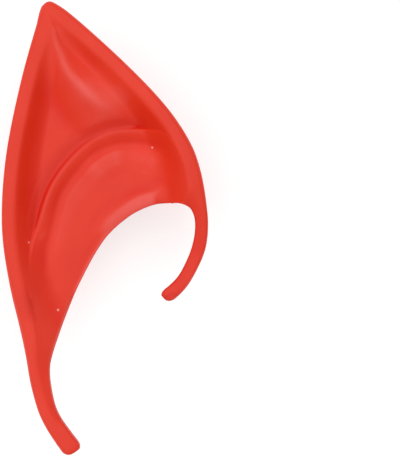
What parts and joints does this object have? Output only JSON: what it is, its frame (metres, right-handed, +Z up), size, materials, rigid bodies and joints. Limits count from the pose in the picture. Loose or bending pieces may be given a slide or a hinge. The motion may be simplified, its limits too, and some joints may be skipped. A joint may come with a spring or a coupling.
{
  "type": "costume ear tip",
  "caption": "Hollow moulded latex ear tip, long and pointed, with a rolled rim, a curved rib, a short hook and a long tail; it slips over the top of an ear as a demon costume piece.",
  "frame": {"origin": "under the middle of the piece's box, on the surface that its rounded back lies on", "axes": "+Z up, out of the open modelled face; +Y along the piece from the tail to the point; +X across the face from the rear rim to the hook"},
  "size_m": [0.056, 0.1226, 0.0296],
  "materials": {
    "latex": "satin red latex, coloured through"
  },
  "bodies": {
    "root": {"ear_tip": "latex"}
  },
  "joints": []
}
